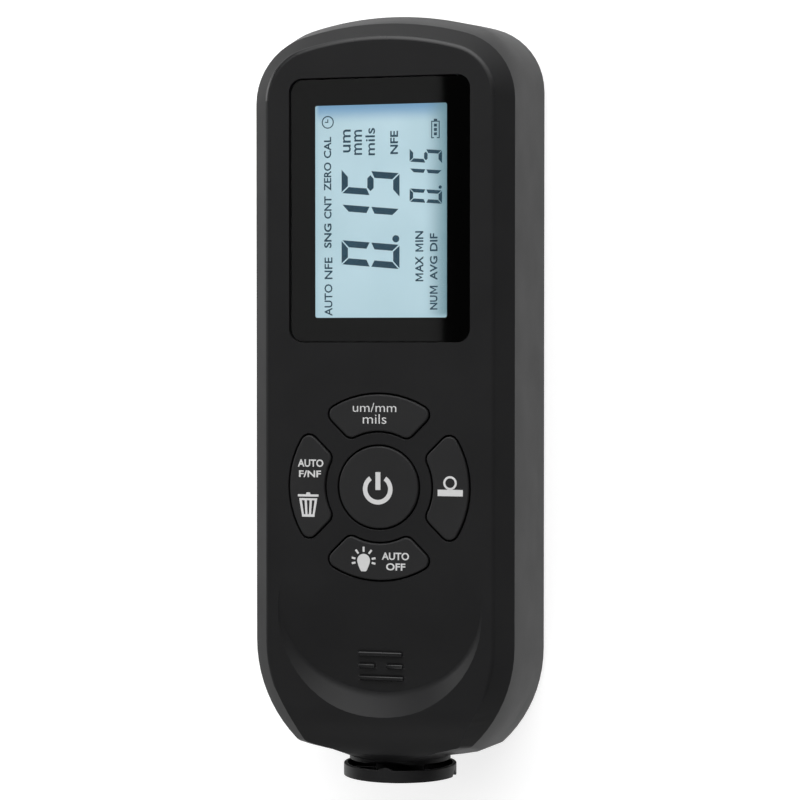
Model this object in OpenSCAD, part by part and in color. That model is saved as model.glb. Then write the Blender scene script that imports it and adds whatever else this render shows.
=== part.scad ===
// Handheld coating thickness gauge, lying on its back
// X points right, Y to the display end, Z out of the front face; all sizes in millimetres

/* [Body] */
// Width across the parting line
body_w = 45; // [44:0.5:50]
// Depth from the flat back to the face
body_d = 27; // [26.5:0.5:32]
// Height of the parting line's top above the middle
top_y = 62.2; // [61.5:0.1:70]
// Depth of the parting line's lowest point below the middle
bottom_y = 60.6; // [60:0.1:61.5]
// Radius of the arched top end
arch_r = 51.9; // [48:1:80]
// Radius of the two top corners
corner_r = 11.4; // [9:0.2:12]
// Where the straight sides end, below the middle
side_end = 41.6; // [39.5:0.1:42.5]
// Radius of the tapering lower sides
low_r = 23.1; // [22:0.2:25]
// Radius of the two bottom corners
heel_r = 2; // [1:0.1:3]
// Radius of the shallow bottom edge
bottom_r = 57.2; // [50:1:80]
// Height of the bevelled rim
bevel_d = 3.25; // [2.5:0.05:4]
// Width of the bevel along the sides
bevel_w = 2.9; // [2.4:0.1:3.2]
// Width of the bevel at the top end
bevel_top = 2.65; // [2.2:0.05:3]
// Width of the bevel around the tapering lower sides
bevel_low = 2; // [1.6:0.1:2.6]
// Width of the bevel at the chin
bevel_chin = 1; // [0.6:0.1:1.6]
// Where the face starts to roll down to the chin, below the middle
chin_start = 52; // [50.5:0.5:53.5]
// Radius of that roll
chin_r = 12.4; // [11.5:0.1:14]
// How far the chin widens from the nose to the face
chin_flare = 2; // [1:0.1:2.5]
// How far the top end leans out toward the back
flare_top = 3.1; // [2.5:0.1:4]
// How far it has leaned out a little below the parting line
flare_mid = 1.85; // [1.2:0.05:2.2]
// How far below the parting line that is
flare_d = 6; // [4:0.5:8]
// How far the sides lean out toward the back
flare_side = 0.3; // [0:0.05:0.5]
// How far the bottom corners lean out toward the back
flare_bottom = 2.6; // [1:0.1:2.8]
// Rounding of the edge around the back
back_r = 2.2; // [2:0.1:4]
// Wall of both shells
wall = 1.8; // [1.5:0.1:2]
// Height of the tongue that joins the shells
tongue_h = 1.5; // [1:0.1:1.8]

/* [Display] */
// Width of the window
window_w = 31.3; // [29:0.1:32]
// Length of the window
window_h = 44.2; // [42:0.2:46]
// Centre of the window above the middle
window_y = 31; // [30.5:0.1:32]
// Rounding of the window's corners
window_r = 2.3; // [1.5:0.1:3]
// How far the window sits below the face
window_sink = 0.7; // [0.4:0.1:0.9]
// Thickness of the window
window_t = 0.9; // [0.7:0.1:1]
// Width of the ledge that carries the window
ledge_w = 2; // [1.5:0.1:2.2]
// Thickness of that ledge
ledge_t = 1.2; // [0.9:0.1:1.4]
// Width of the display glass
glass_w = 27; // [25:0.2:27.2]
// Length of the display glass
glass_h = 39.4; // [37:0.2:39.6]
// Thickness of the display glass
glass_t = 2.2; // [1.8:0.1:2.4]
// Wall of the display frame
frame_t = 1.5; // [1.2:0.1:1.7]

/* [Keys] */
// Centre of the key ring below the middle
key_y = 15.2; // [14.5:0.1:15.7]
// Radius of the round power key
power_r = 6.85; // [6:0.05:7]
// Outer radius of the four ring keys
ring_out = 15.5; // [14.5:0.1:16]
// Inner radius of the four ring keys
ring_in = 9.4; // [9.3:0.1:10]
// Distance of a ring key's side from the diagonal
ring_side = 2.1; // [1.8:0.1:2.6]
// Rounding of a ring key's corners
ring_round = 1.4; // [1:0.1:1.8]
// How far the keys stand above the face
key_proud = 0.2; // [0:0.05:0.4]
// Travel of a key
key_travel = 0.7; // [0.5:0.1:0.9]
// Width of the hidden flange around a key
flange_w = 0.8; // [0.6:0.05:0.9]
// Thickness of that flange
flange_t = 1.1; // [0.9:0.1:1.3]
// Radius of the pin under a key
pin_r = 1.5; // [1.2:0.1:1.8]
// Radius of a switch dome
dome_r = 2.5; // [2:0.1:2.8]
// Height of a switch dome
dome_h = 0.35; // [0.3:0.05:0.5]
// Thickness of the keypad mat
mat_t = 1; // [0.8:0.1:1.2]

/* [Thumb scoop] */
// Radius of the scoop's rim
scoop_r = 17.7; // [16.5:0.1:18]
// Centre of the scoop below the middle
scoop_y = 36.2; // [36:0.1:36.5]
// Where the floor starts to fall away, below the middle
scoop_start = 30.8; // [30.5:0.1:32.5]
// Radius of the falling floor
floor_r = 68; // [64:1:90]
// Slope of the wall between the floor and the rim, in degrees
hollow_slope = 36; // [32:1:42]
// Radius of the hollow at the foot of that wall
hollow_r = 2.5; // [1.5:0.1:3]
// Length of the raised bars
bar_l = 7.8; // [6:0.2:9]
// Width of a raised bar
bar_w = 0.75; // [0.5:0.05:0.9]
// Height of a raised bar
bar_h = 0.55; // [0.3:0.05:0.6]
// Distance from bar to bar
bar_step = 2.1; // [1.8:0.1:2.4]
// Middle bar's position below the middle
bar_y = 45.3; // [44.5:0.1:45.5]
// Gap in the middle bar
bar_gap = 1.9; // [1.5:0.1:2.5]

/* [Probe] */
// Height of the probe's axis above the back
probe_z = 13.5; // [13:0.1:13.7]
// Radius of the nose that carries the probe
nose_r = 8.7; // [8.5:0.1:8.8]
// End of the nose below the middle
nose_y = 61.8; // [61.7:0.1:62]
// Length of the spigot at its end, which the collar slides over
spigot_l = 0.65; // [0.5:0.05:0.7]
// Outer radius of the collar
collar_r = 9.7; // [9.7:0.1:10.4]
// Wall of the collar
collar_t = 0.7; // [0.6:0.1:0.8]
// Rim of the collar below the middle
collar_y = 63.3; // [63.2:0.05:63.4]
// Height of the collar
collar_h = 2; // [1.8:0.05:2.2]
// Floor of the collar
collar_floor = 0.9; // [0.7:0.05:1]
// Depth of the two V notches
notch_d = 1.1; // [0.8:0.1:1.2]
// Radius of the index bump
bump_r = 2; // [1.6:0.1:2.2]
// Height of the index bump above the rim
bump_h = 0.45; // [0.3:0.05:0.5]
// Travel of the probe
probe_travel = 1; // [0.8:0.1:1.1]
// Radius of the probe's stem
stem_r = 4.2; // [4:0.1:4.3]
// Outer radius of the guide tube
guide_r = 7.2; // [7.1:0.1:7.3]
// How far the stem reaches out of the guide tube inside the case
stem_tail = 1.5; // [1.2:0.1:2]
// Length of the guide tube
guide_l = 16.8; // [16:0.2:17.4]
// End walls of the guide tube
guide_t = 2; // [1.6:0.1:2.2]
// Radius of the chamber in the guide tube
chamber_r = 6; // [5.9:0.1:6.1]
// Wire of the probe's spring
spring_wire = 0.7; // [0.6:0.05:0.75]
// Turns of the probe's spring
spring_turns = 6; // [5:1:7]
// Thickness of the retaining clip
clip_t = 1; // [0.8:0.1:1.2]
// Radius of the measuring core
core_r = 1.6; // [1.4:0.05:1.7]
// Length of the coil
coil_l = 6; // [5:0.5:6.5]
// Thickness of the coil's winding
coil_t = 1.7; // [1.4:0.1:1.7]

/* [Battery] */
// Diameter of a cell
cell_d = 10.5; // [10:0.1:10.6]
// Length of a cell with its button
cell_l = 44.5; // [43.5:0.1:44.6]
// Radius of the cell's button
button_r = 1.9; // [1.7:0.1:2.1]
// Height of the cell's button
button_h = 1.2; // [1:0.1:1.4]
// Upper end of the battery bay above the middle
bay_top = 17.5; // [16.5:0.1:17.9]
// Walls of the battery bay
bay_wall = 1.4; // [1.2:0.1:1.5]
// Length of a contact spring
contact_l = 4; // [3.5:0.1:4.2]
// Thickness of the contact plates
plate_t = 0.4; // [0.3:0.05:0.5]
// Width of a contact plate
plate_w = 8; // [7:0.2:8.6]
// Wire of the contact springs
contact_wire = 0.6; // [0.5:0.05:0.7]
// Radius of the contact springs
contact_r = 3; // [2.6:0.1:3.2]
// Thickness of the battery cover
cover_t = 1.6; // [1.5:0.1:1.8]
// How far the cover's rim reaches past the bay
cover_rim = 2.2; // [2:0.1:2.4]
// Rounding of the cover's free corners
cover_r = 2.5; // [2:0.1:3]
// Radius of the cover's hinge pins
hinge_r = 0.5; // [0.45:0.01:0.6]
// Length of each hinge pin
hinge_l = 1; // [0.8:0.1:1.2]
// Width of the cover's latch
latch_w = 9; // [7:0.5:10]
// Height of the cover's latch
latch_h = 1.2; // [1:0.1:1.4]

/* [Inside] */
// Thickness of the main board
board_t = 1.6; // [1.2:0.1:1.6]
// Width of the main board
board_w = 34; // [33:0.5:34.4]
// Radius of the posts under the board
post_r = 1.8; // [1.6:0.1:2]
// Radius of the screw bosses
boss_r = 2.9; // [2.8:0.1:3]
// Distance of the upper bosses from the side of the case
boss_in = 10; // [9.5:0.1:10.5]
// Distance of the upper bosses from the top of the case
boss_top = 7; // [6.8:0.1:7.2]
// Distance of the lower bosses from the side of the case
low_boss_in = 7; // [6.5:0.1:7.5]
// Distance of the lower bosses below the straight sides
low_boss_drop = 1; // [0.5:0.1:1.5]
// Radius of a screw's thread
screw_r = 1.2; // [1.1:0.05:1.3]
// Radius of a screw's head
head_r = 2.2; // [2.1:0.05:2.3]
// Height of a screw's head
head_h = 1.6; // [1.4:0.1:1.8]
// Depth of the screw wells in the back
well_d = 3; // [2.6:0.1:3.4]
// Length of a screw
screw_l = 16; // [14:0.5:17]
// Edge of the controller chip
chip_w = 10; // [8:0.5:12]
// Thickness of the controller chip
chip_t = 1.6; // [1.2:0.1:1.6]
// Radius of the buzzer
buzzer_r = 6; // [5:0.5:6.5]
// Height of the buzzer
buzzer_h = 3; // [2.5:0.1:3.2]

/* [Fits] */
// Gap around a key
key_gap = 0.3; // [0.25:0.05:0.4]
// Gap between a key's flange and the shell
flange_gap = 0.15; // [0.1:0.05:0.25]
// Gap around parts that are laid in
seat_gap = 0.1; // [0.05:0.01:0.12]
// Running gap around the stem, the clip and the hinge
run_gap = 0.3; // [0.25:0.01:0.35]
// Gap around the battery cover
cover_gap = 0.3; // [0.25:0.05:0.35]

/* [Hidden] */

// Facets of round features, of large sweeps and of small details
round_n = 48;
sweep_n = 180;
small_n = 24;
// Steps along each stretch of the outline
arch_n = 10;
corner_n = 10;
low_n = 10;
heel_n = 4;
bottom_n = 6;
// Steps around the scoop's rim and down its wall, the steps that find the wall's foot, and the share of a low
// wall that its hollow may take
hollow_n = 36;
hollow_steps = 5;
reach_n = 8;
hollow_share = 0.5;
// A small overlap that joins features, and a length past every face for cuts
weld = 0.2;
past = 40;

split_z = body_d - bevel_d;
mid_z = split_z - flare_d;
mid_share = flare_mid / flare_top;
plate_z = body_d - wall;
rim_in = bevel_w + weld;
ledge_z = body_d - window_sink - window_t;
frame_top = ledge_z - ledge_t;
glass_top = frame_top - weld;
light_t = wall;
board_z = glass_top - glass_t - light_t;
board_y1 = window_y + (window_h - ledge_w) / 2;
flange_top = plate_z - flange_gap;
pin_bottom = board_z + dome_h + key_travel + weld / 4;
ring_mid = (ring_out + ring_in) / 2;
mat_y = key_y + ring_out + flange_w;
board_y0 = -mat_y - pin_r - pin_r;

cell_r = cell_d / 2;
bay_w = 2 * (cell_d + run_gap) + run_gap;
bay_end = bay_top - 2 * plate_t - contact_l - cell_l;
bay_mid = (bay_top + bay_end) / 2;
bay_l = bay_top - bay_end;
cell_z = cover_t + seat_gap + run_gap + cell_r;
cell_x = (cell_d + run_gap) / 2;
bay_roof = cell_z + cell_r + run_gap;
cover_z = seat_gap;
cover_w = bay_w + 2 * cover_rim;
cover_y1 = bay_top + cover_rim;
cover_y0 = bay_end - cover_rim - bay_wall;
knuckle_r = cover_t / 2;
hinge_y = cover_y1 - knuckle_r;
hinge_z = cover_z + knuckle_r;
pad_z = cover_z + cover_t + bay_wall + knuckle_r;
pad_rim = hinge_l + run_gap + bay_wall;
latch_y = bay_end - bay_wall - run_gap;

boss_x = body_w / 2 - boss_in;
boss_y = top_y - boss_top;
low_boss_x = body_w / 2 - low_boss_in;
low_boss_y = side_end + low_boss_drop;
boss_z = bay_roof;
screw_top = well_d + screw_l - head_h;
post_x = board_w / 2 - post_r - weld;
post_y = board_y1 - boss_r - post_r;
low_post_y = board_y0 + post_r;
buzzer_y = bay_top + bay_wall + buzzer_r + pad_rim + pad_rim;
chip_y = buzzer_y + buzzer_r + pad_rim;

stem_y0 = collar_y + collar_h - collar_floor;
guide_y0 = nose_y + spigot_l - weld - weld;
guide_y1 = guide_y0 - guide_l;
clip_y = guide_y0 - guide_t - seat_gap;
spring_r = (stem_r + chamber_r) / 2;
spring_y0 = clip_y - clip_t;
spring_y1 = guide_y1 + guide_t;
stem_y1 = guide_y1 - stem_tail;
coil_hole = core_r + coil_t + seat_gap;
core_l = guide_l;

hollow_from = 180 - asin((scoop_y - scoop_start + weld) / scoop_r);
scoop_d = floor_at(scoop_y + scoop_r - reach(270, reach_n)) + weld;

// Points along an arc, the last one on request
function arc(c, r, a, b, n, last) =
    [for (i = [0:last ? n : n - 1]) c + r * [cos(a + (b - a) * i / n), sin(a + (b - a) * i / n)]];

// Right-hand crossing of two circles
function crossing(a, p, b, q) =
    let (d = norm(b - a), u = (b - a) / d, s = (p * p - q * q + d * d) / (2 * d), h = sqrt(p * p - s * s))
    a + s * u + h * [u[1], -u[0]];

// Right half of an outline from its top to its lowest point: arch, corner, side, taper, heel, bottom edge
function half_rim(w, yt, rt, rc, yl, rl, yb, rb, rf) =
    let (
        ct = [0, yt - rt],
        cc = [w - rc, ct[1] + sqrt((rt - rc) * (rt - rc) - (w - rc) * (w - rc))],
        cl = [w - rl, -yl],
        cb = [0, rb - yb],
        cf = crossing(cl, rl - rf, cb, rb - rf),
        at = atan2(cc[1] - ct[1], cc[0] - ct[0]),
        al = atan2(cf[1] - cl[1], cf[0] - cl[0]),
        ab = atan2(cf[1] - cb[1], cf[0] - cb[0])
    )
    concat(
        arc(ct, rt, 90, at, arch_n, false),
        arc(cc, rc, at, 0, corner_n, true),
        arc(cl, rl, 0, al, low_n, false),
        arc(cf, rf, al, ab, heel_n, false),
        arc(cb, rb, ab, -90, bottom_n, true)
    );

// Whole outline from its right half
function whole(h) = concat(h, [for (i = [len(h) - 2:-1:1]) [-h[i][0], h[i][1]]]);

// Body outline at the parting line, moved in by c
function body_rim(c) = whole(half_rim(body_w / 2 - c, top_y - c, arch_r - c, corner_r - c, side_end,
    low_r - c, bottom_y - c, bottom_r - c, max(heel_r - c, weld)));

// The same outline leaning out toward the back by the share f
function lean(h, f) = [for (p = h) [p[0] + f * flare_side * p[0] / (body_w / 2),
    p[1] > 0 ? p[1] + f * flare_top
        : p[1] - f * flare_bottom * (1 + min(1, abs(p[0]) / low_boss_x)) / 2]];

// Outline of the flat face inside the bevel
function face_rim() = whole(half_rim(body_w / 2 - bevel_w, top_y - bevel_top, arch_r - bevel_top,
    corner_r - bevel_w, side_end, low_r - bevel_low, bottom_y - bevel_chin, bottom_r - bevel_chin,
    heel_r + heel_r));

// Share of the lean at a height: it grows fast below the parting line, then slowly to the back
function lean_at(z) = z > mid_z ? mid_share * (split_z - z) / flare_d
    : mid_share + (1 - mid_share) * (mid_z - z) / (mid_z - back_r);

// A body through outlines at rising heights
module loft(rows) {
    skin([for (r = rows) [for (p = r[0]) [p[0], p[1], r[1]]]]);
}

// A body through rings of points, the first and the last one closed
module skin(rings) {
    n = len(rings[0]);
    m = len(rings);
    points = [for (r = rings) for (p = r) p];
    low = [[for (i = [n - 1:-1:0]) i]];
    high = [[for (i = [0:n - 1]) (m - 1) * n + i]];
    sides = [for (j = [0:m - 2]) for (i = [0:n - 1]) for (k = [0:1])
        k == 0 ? [j * n + i, j * n + (i + 1) % n, (j + 1) * n + (i + 1) % n]
            : [j * n + i, (j + 1) * n + (i + 1) % n, (j + 1) * n + i]];
    polyhedron(points = points, faces = concat(low, high, sides));
}

// A rounded rectangle
module pane(w, h, r) {
    square([w - 2 * r, h], center = true);
    square([w, h - 2 * r], center = true);
    for (x = [-1, 1]) {
        for (y = [-1, 1]) {
            translate([x * (w / 2 - r), y * (h / 2 - r)]) circle(r, $fn = small_n);
        }
    }
}

// A straight block with a rounded outline, standing on z
module slab(w, h, r, y, z, t) {
    translate([0, y, z]) linear_extrude(t) pane(w, h, r);
}

// A plain block from its middle in X, its two ends in Y and its two heights
module block(x, w, y0, y1, z0, z1) {
    translate([x - w / 2, y0, z0]) cube([w, y1 - y0, z1 - z0]);
}

// A rod along the probe's axis between two distances below the middle
module rod(r, from, to, n) {
    translate([0, -from, probe_z]) rotate([-90, 0, 0]) cylinder(r = r, h = from - to, $fn = n);
}

// A coiled wire standing on z = 0, its ends inside the height h
module coil(r, wire, h, turns) {
    side_n = 6;
    turn_n = 14;
    steps = turns * turn_n;
    w = wire / 2;
    points = [for (i = [0:steps]) for (k = [0:side_n - 1])
        let (a = 360 * i / turn_n, b = 360 * k / side_n, q = r + w * cos(b))
        [q * cos(a), q * sin(a), w + (h - wire) * i / steps + w * sin(b)]];
    first = [[for (k = [0:side_n - 1]) k]];
    final = [[for (k = [side_n - 1:-1:0]) steps * side_n + k]];
    sides = [for (i = [0:steps - 1]) for (k = [0:side_n - 1]) for (t = [0:1])
        t == 0 ? [i * side_n + k, (i + 1) * side_n + k, (i + 1) * side_n + (k + 1) % side_n]
            : [i * side_n + k, (i + 1) * side_n + (k + 1) % side_n, i * side_n + (k + 1) % side_n]];
    polyhedron(points = points, faces = concat(first, final, sides));
}

// Outline of the upper ring key, grown by g
function ring_points(g) =
    let (
        v = ring_side + ring_round,
        uo = sqrt((ring_out - ring_round) * (ring_out - ring_round) - v * v),
        ui = sqrt((ring_in + ring_round) * (ring_in + ring_round) - v * v),
        ao = 45 + atan2(v, uo),
        ai = 45 + atan2(v, ui),
        ro = ring_out - ring_round,
        ri = ring_in + ring_round,
        k = ring_round + g
    )
    concat(
        arc([ro * cos(ao), ro * sin(ao)], k, -45, ao, heel_n, false),
        arc([0, 0], ring_out + g, ao, 180 - ao, arch_n, false),
        arc([-ro * cos(ao), ro * sin(ao)], k, 180 - ao, 225, heel_n, true),
        arc([-ri * cos(ai), ri * sin(ai)], k, 225, 360 - ai, heel_n, false),
        arc([0, 0], ring_in - g, 180 - ai, ai, arch_n, false),
        arc([ri * cos(ai), ri * sin(ai)], k, 180 + ai, 315, heel_n, true)
    );

module ring_shape(turn, g) {
    rotate(turn) polygon(ring_points(g));
}

// One ring key: cap, hidden flange and pin
module ring_key(turn) {
    translate([0, -key_y, 0]) {
        translate([0, 0, flange_top - flange_t])
            linear_extrude(body_d + key_proud - flange_top + flange_t) ring_shape(turn, 0);
        translate([0, 0, flange_top - flange_t]) linear_extrude(flange_t) ring_shape(turn, flange_w);
        rotate(turn) translate([0, ring_mid, pin_bottom])
            cylinder(r = pin_r, h = flange_top - pin_bottom - weld, $fn = small_n);
    }
}

// The smooth chin that runs from the face into the round nose, grown by g
module chin(g) {
    hull() {
        intersection() {
            rod(nose_r + g, nose_y + g, nose_y - bevel_chin, round_n);
            block(0, past, -nose_y - g, 0, probe_z, body_d);
        }
        translate([0, 0, body_d - weld]) linear_extrude(weld) intersection() {
            polygon(face_rim());
            translate([0, -bottom_y]) square([2 * nose_r + 2 * chin_flare, bevel_d + bevel_d + bevel_d],
                center = true);
        }
    }
}

// What lies above the roll from the face down to the chin
module above_chin() {
    difference() {
        block(0, past + past, -past - past, -chin_start, body_d - chin_r, body_d + past);
        translate([0, -chin_start, body_d - chin_r]) rotate([0, 90, 0])
            cylinder(r = chin_r, h = past + past + past, center = true, $fn = sweep_n);
    }
}

// Depth of the scoop's floor at a distance below the middle
function floor_at(y) = floor_r - sqrt(floor_r * floor_r - (y - scoop_start) * (y - scoop_start));

// Depth of the wall's foot where it lies w in from the rim in the direction a
function foot_depth(a, w) = floor_at(scoop_y - (scoop_r - w) * sin(a)) + weld / 2;

// Radius of the hollow at the foot of a wall d deep, smaller where the wall is low
function foot_r(d) = min(hollow_r, hollow_share * d / (1 - cos(hollow_slope)));

// How far the wall reaches in from the rim in the direction a, refined n times
function reach(a, n) = n == 0 ? wall
    : let (d = foot_depth(a, reach(a, n - 1)))
        d / tan(hollow_slope) + foot_r(d) * tan(hollow_slope / 2);

// A ring of the scoop's cut: the rim at step 0, then the hollow's steps down to the floor
function hollow_ring(k) = [for (i = [0:hollow_n])
    let (
        a = 540 - hollow_from - (540 - 2 * hollow_from) * i / hollow_n,
        w = reach(a, reach_n),
        d = foot_depth(a, w),
        b = hollow_slope * (hollow_steps - k) / (hollow_steps - 1),
        r = k == 0 ? scoop_r : scoop_r - w + foot_r(d) * sin(b),
        z = k == 0 ? 0 : foot_r(d) * (1 - cos(b)) - d
    )
    [r * cos(a), r * sin(a) - scoop_y, body_d + z]];

// Cut of the thumb scoop: a sloped wall that runs down from the round rim to a floor that falls away
module scoop_cut() {
    rim = hollow_ring(0);
    foot = hollow_ring(hollow_steps);
    difference() {
        skin(concat(
            [[for (p = foot) [p[0], p[1], body_d - scoop_d - weld]]],
            [for (k = [hollow_steps:-1:0]) hollow_ring(k)],
            [[for (p = rim) [p[0], p[1], body_d + wall]]]));
        scoop_floor(0);
        block(0, past + past, -scoop_start, past, 0, past);
    }
}

// The floor under the scoop as a broad roller, raised by g
module scoop_floor(g) {
    translate([0, -scoop_start, body_d - floor_r]) rotate([0, 90, 0])
        cylinder(r = floor_r + g, h = past + past, center = true, $fn = sweep_n * 2);
}

// The raised bars on the scoop's floor
module bars() {
    intersection() {
        scoop_floor(bar_h);
        for (k = [-1:1]) {
            difference() {
                block(0, bar_l, -bar_y + k * bar_step - bar_w / 2, -bar_y + k * bar_step + bar_w / 2,
                    body_d - scoop_d - weld, body_d);
                if (k == 0) {
                    block(0, bar_gap, -bar_y - bar_w, -bar_y + bar_w, 0, past);
                }
            }
        }
    }
}

// The four places of the case screws
module at_bosses() {
    for (s = [-1, 1]) {
        translate([s * boss_x, boss_y, 0]) children();
        translate([s * low_boss_x, -low_boss_y, 0]) children();
    }
}

module front_shell() {
    color([0.10, 0.10, 0.11]) difference() {
        union() {
            difference() {
                loft([[body_rim(0), split_z], [face_rim(), body_d]]);
                translate([0, 0, split_z - wall]) linear_extrude(plate_z - split_z + wall)
                    polygon(body_rim(rim_in));
            }
            chin(0);
            intersection() {
                rod(nose_r, nose_y + spigot_l, nose_y - weld, round_n);
                block(0, past, -past - past, 0, probe_z, body_d);
            }
            translate([0, 0, split_z - tongue_h]) linear_extrude(tongue_h + weld) difference() {
                polygon(body_rim(wall / 2 + seat_gap));
                polygon(body_rim(wall + seat_gap));
            }
            slab(window_w + 2 * ledge_w, window_h + 2 * ledge_w, window_r + ledge_w, window_y, frame_top,
                plate_z - frame_top + weld);
            translate([0, 0, body_d - scoop_d - wall]) linear_extrude(plate_z + weld + scoop_d + wall - body_d)
                intersection() {
                    polygon(body_rim(rim_in - weld));
                    translate([-past, -past - scoop_y - bevel_d]) square([2 * past, past]);
                }
            at_bosses() translate([0, 0, boss_z])
                cylinder(r = boss_r, h = plate_z - boss_z + weld, $fn = small_n);
        }
        slab(window_w, window_h, window_r, window_y, ledge_z, past);
        slab(window_w - 2 * ledge_w, window_h - 2 * ledge_w, window_r, window_y, 0, past);
        translate([0, -key_y, split_z - wall]) cylinder(r = power_r + key_gap, h = past, $fn = round_n);
        for (turn = [0:90:270]) {
            translate([0, -key_y, split_z]) linear_extrude(past) ring_shape(turn, key_gap);
        }
        above_chin();
        difference() {
            scoop_cut();
            bars();
        }
        rod(guide_r + seat_gap, nose_y + past, guide_y1, round_n);
        at_bosses() translate([0, 0, boss_z - weld])
            cylinder(r = screw_r + seat_gap / 2, h = screw_top + weld + weld - boss_z, $fn = small_n);
    }
}

// Outline of the battery cover up to y1, grown by g
module cover_shape(g, y1) {
    translate([-cover_w / 2 - g, cover_y0 + cover_r]) square([cover_w + 2 * g, y1 + g - cover_y0 - cover_r]);
    translate([-cover_w / 2 + cover_r, cover_y0 - g]) square([cover_w - 2 * cover_r, cover_r + cover_r]);
    for (s = [-1, 1]) {
        translate([s * (cover_w / 2 - cover_r), cover_y0 + cover_r]) circle(cover_r + g, $fn = small_n);
    }
}

module rear_shell() {
    fillet_n = 4;
    color([0.13, 0.13, 0.14]) difference() {
        union() {
            difference() {
                loft(concat(
                    [for (k = [0:fillet_n]) let (a = 90 * k / fillet_n)
                        [lean(body_rim(back_r * (1 - sin(a))), 1), back_r * (1 - cos(a))]],
                    [[lean(body_rim(0), mid_share), mid_z], [lean(body_rim(0), 0), split_z]]));
                loft([
                    [lean(body_rim(back_r), 1), wall],
                    [lean(body_rim(wall), 1), back_r],
                    [lean(body_rim(wall), mid_share), mid_z],
                    [lean(body_rim(wall), lean_at(split_z - tongue_h - seat_gap)),
                        split_z - tongue_h - seat_gap]]);
                translate([0, 0, split_z - tongue_h - seat_gap - weld]) linear_extrude(past)
                    polygon(body_rim(wall / 2));
            }
            intersection() {
                rod(nose_r, nose_y + spigot_l, nose_y - 2 * bevel_d - bevel_d, round_n);
                block(0, past, -past - past, 0, 0, probe_z);
            }
            block(0, bay_w + 2 * bay_wall, bay_end - bay_wall, bay_top + bay_wall, 0, bay_roof + bay_wall);
            block(0, cover_w + 2 * pad_rim, cover_y0 - bay_wall, cover_y1 + bay_wall, 0, pad_z);
            for (s = [-1, 1]) {
                translate([s * post_x, post_y, wall - weld])
                    cylinder(r = post_r, h = board_z - board_t - wall + weld, $fn = small_n);
                translate([s * post_x, low_post_y, wall - weld])
                    cylinder(r = post_r, h = board_z - board_t - wall + weld, $fn = small_n);
            }
            at_bosses() translate([0, 0, weld])
                cylinder(r = boss_r, h = boss_z - weld - seat_gap, $fn = small_n);
        }
        block(0, bay_w, bay_end, bay_top, -past, bay_roof);
        translate([0, 0, -past]) linear_extrude(past + cover_z + cover_t + seat_gap)
            cover_shape(cover_gap, cover_y1);
        translate([0, hinge_y, hinge_z]) rotate([0, 90, 0])
            cylinder(r = knuckle_r + run_gap, h = cover_w + 2 * cover_gap, center = true, $fn = small_n);
        translate([0, hinge_y, hinge_z]) rotate([0, 90, 0])
            cylinder(r = hinge_r + run_gap, h = cover_w + 2 * hinge_l + 2 * run_gap, center = true,
                $fn = small_n);
        block(0, latch_w + 2 * run_gap, latch_y - bay_wall - run_gap, latch_y + run_gap, 0,
            cover_z + cover_t + latch_h + run_gap);
        chin(seat_gap);
        rod(guide_r + seat_gap, nose_y + past, guide_y1, round_n);
        at_bosses() translate([0, 0, -past]) cylinder(r = screw_r + seat_gap, h = 2 * past, $fn = small_n);
        at_bosses() translate([0, 0, -past]) cylinder(r = head_r + run_gap, h = past + well_d, $fn = small_n);
    }
}

module lcd_window() {
    color([0.03, 0.03, 0.035]) slab(window_w - 2 * seat_gap, window_h - 2 * seat_gap, window_r - seat_gap,
        window_y, ledge_z, window_t);
}

module lcd_frame() {
    color([0.85, 0.85, 0.83]) difference() {
        slab(glass_w + 2 * seat_gap + 2 * frame_t, glass_h + 2 * seat_gap + 2 * frame_t, frame_t, window_y,
            board_z, frame_top - board_z);
        block(0, glass_w + 2 * seat_gap, window_y - glass_h / 2 - seat_gap, window_y + glass_h / 2 + seat_gap,
            0, past);
    }
}

module lcd_glass() {
    color([0.72, 0.83, 0.86]) block(0, glass_w, window_y - glass_h / 2, window_y + glass_h / 2,
        glass_top - glass_t, glass_top);
}

module lcd_backlight() {
    color([0.92, 0.95, 0.97]) block(bar_gap / 2, glass_w - bar_gap - frame_t, window_y - glass_h / 2 + weld,
        window_y + glass_h / 2 - weld, board_z, board_z + light_t);
}

module lcd_connector() {
    color([0.75, 0.45, 0.55]) block(-glass_w / 2 + frame_t / 2 + weld / 2, frame_t - weld,
        window_y - glass_h / 2 + weld, window_y + glass_h / 2 - weld, board_z, board_z + light_t);
}

module main_board() {
    color([0.08, 0.32, 0.16]) block(0, board_w, board_y0, board_y1, board_z - board_t, board_z);
}

module controller_chip() {
    color([0.06, 0.06, 0.06]) block(0, chip_w, chip_y, chip_y + chip_w, board_z - board_t - chip_t,
        board_z - board_t);
}

module buzzer() {
    color([0.05, 0.05, 0.05]) translate([0, buzzer_y, board_z - board_t - buzzer_h]) difference() {
        cylinder(r = buzzer_r, h = buzzer_h, $fn = round_n);
        translate([0, 0, -past]) cylinder(r = pin_r, h = past + weld + weld, $fn = small_n);
    }
}

// The five places of the keys, from the power key round the ring
module at_keys() {
    translate([0, -key_y, 0]) {
        children();
        for (turn = [0:90:270]) {
            rotate(turn) translate([0, ring_mid, 0]) children();
        }
    }
}

module keypad_mat() {
    color([0.30, 0.30, 0.32]) difference() {
        slab(2 * mat_y - 2 * key_y, 2 * mat_y - 2 * key_y, ring_round, -key_y, board_z, mat_t);
        at_keys() translate([0, 0, board_z - weld])
            cylinder(r = dome_r + run_gap, h = mat_t + weld + weld, $fn = small_n);
    }
}

module switch_domes() {
    color([0.78, 0.78, 0.76]) at_keys() translate([0, 0, board_z])
        cylinder(r1 = dome_r, r2 = dome_r - dome_h, h = dome_h, $fn = small_n);
}

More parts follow.
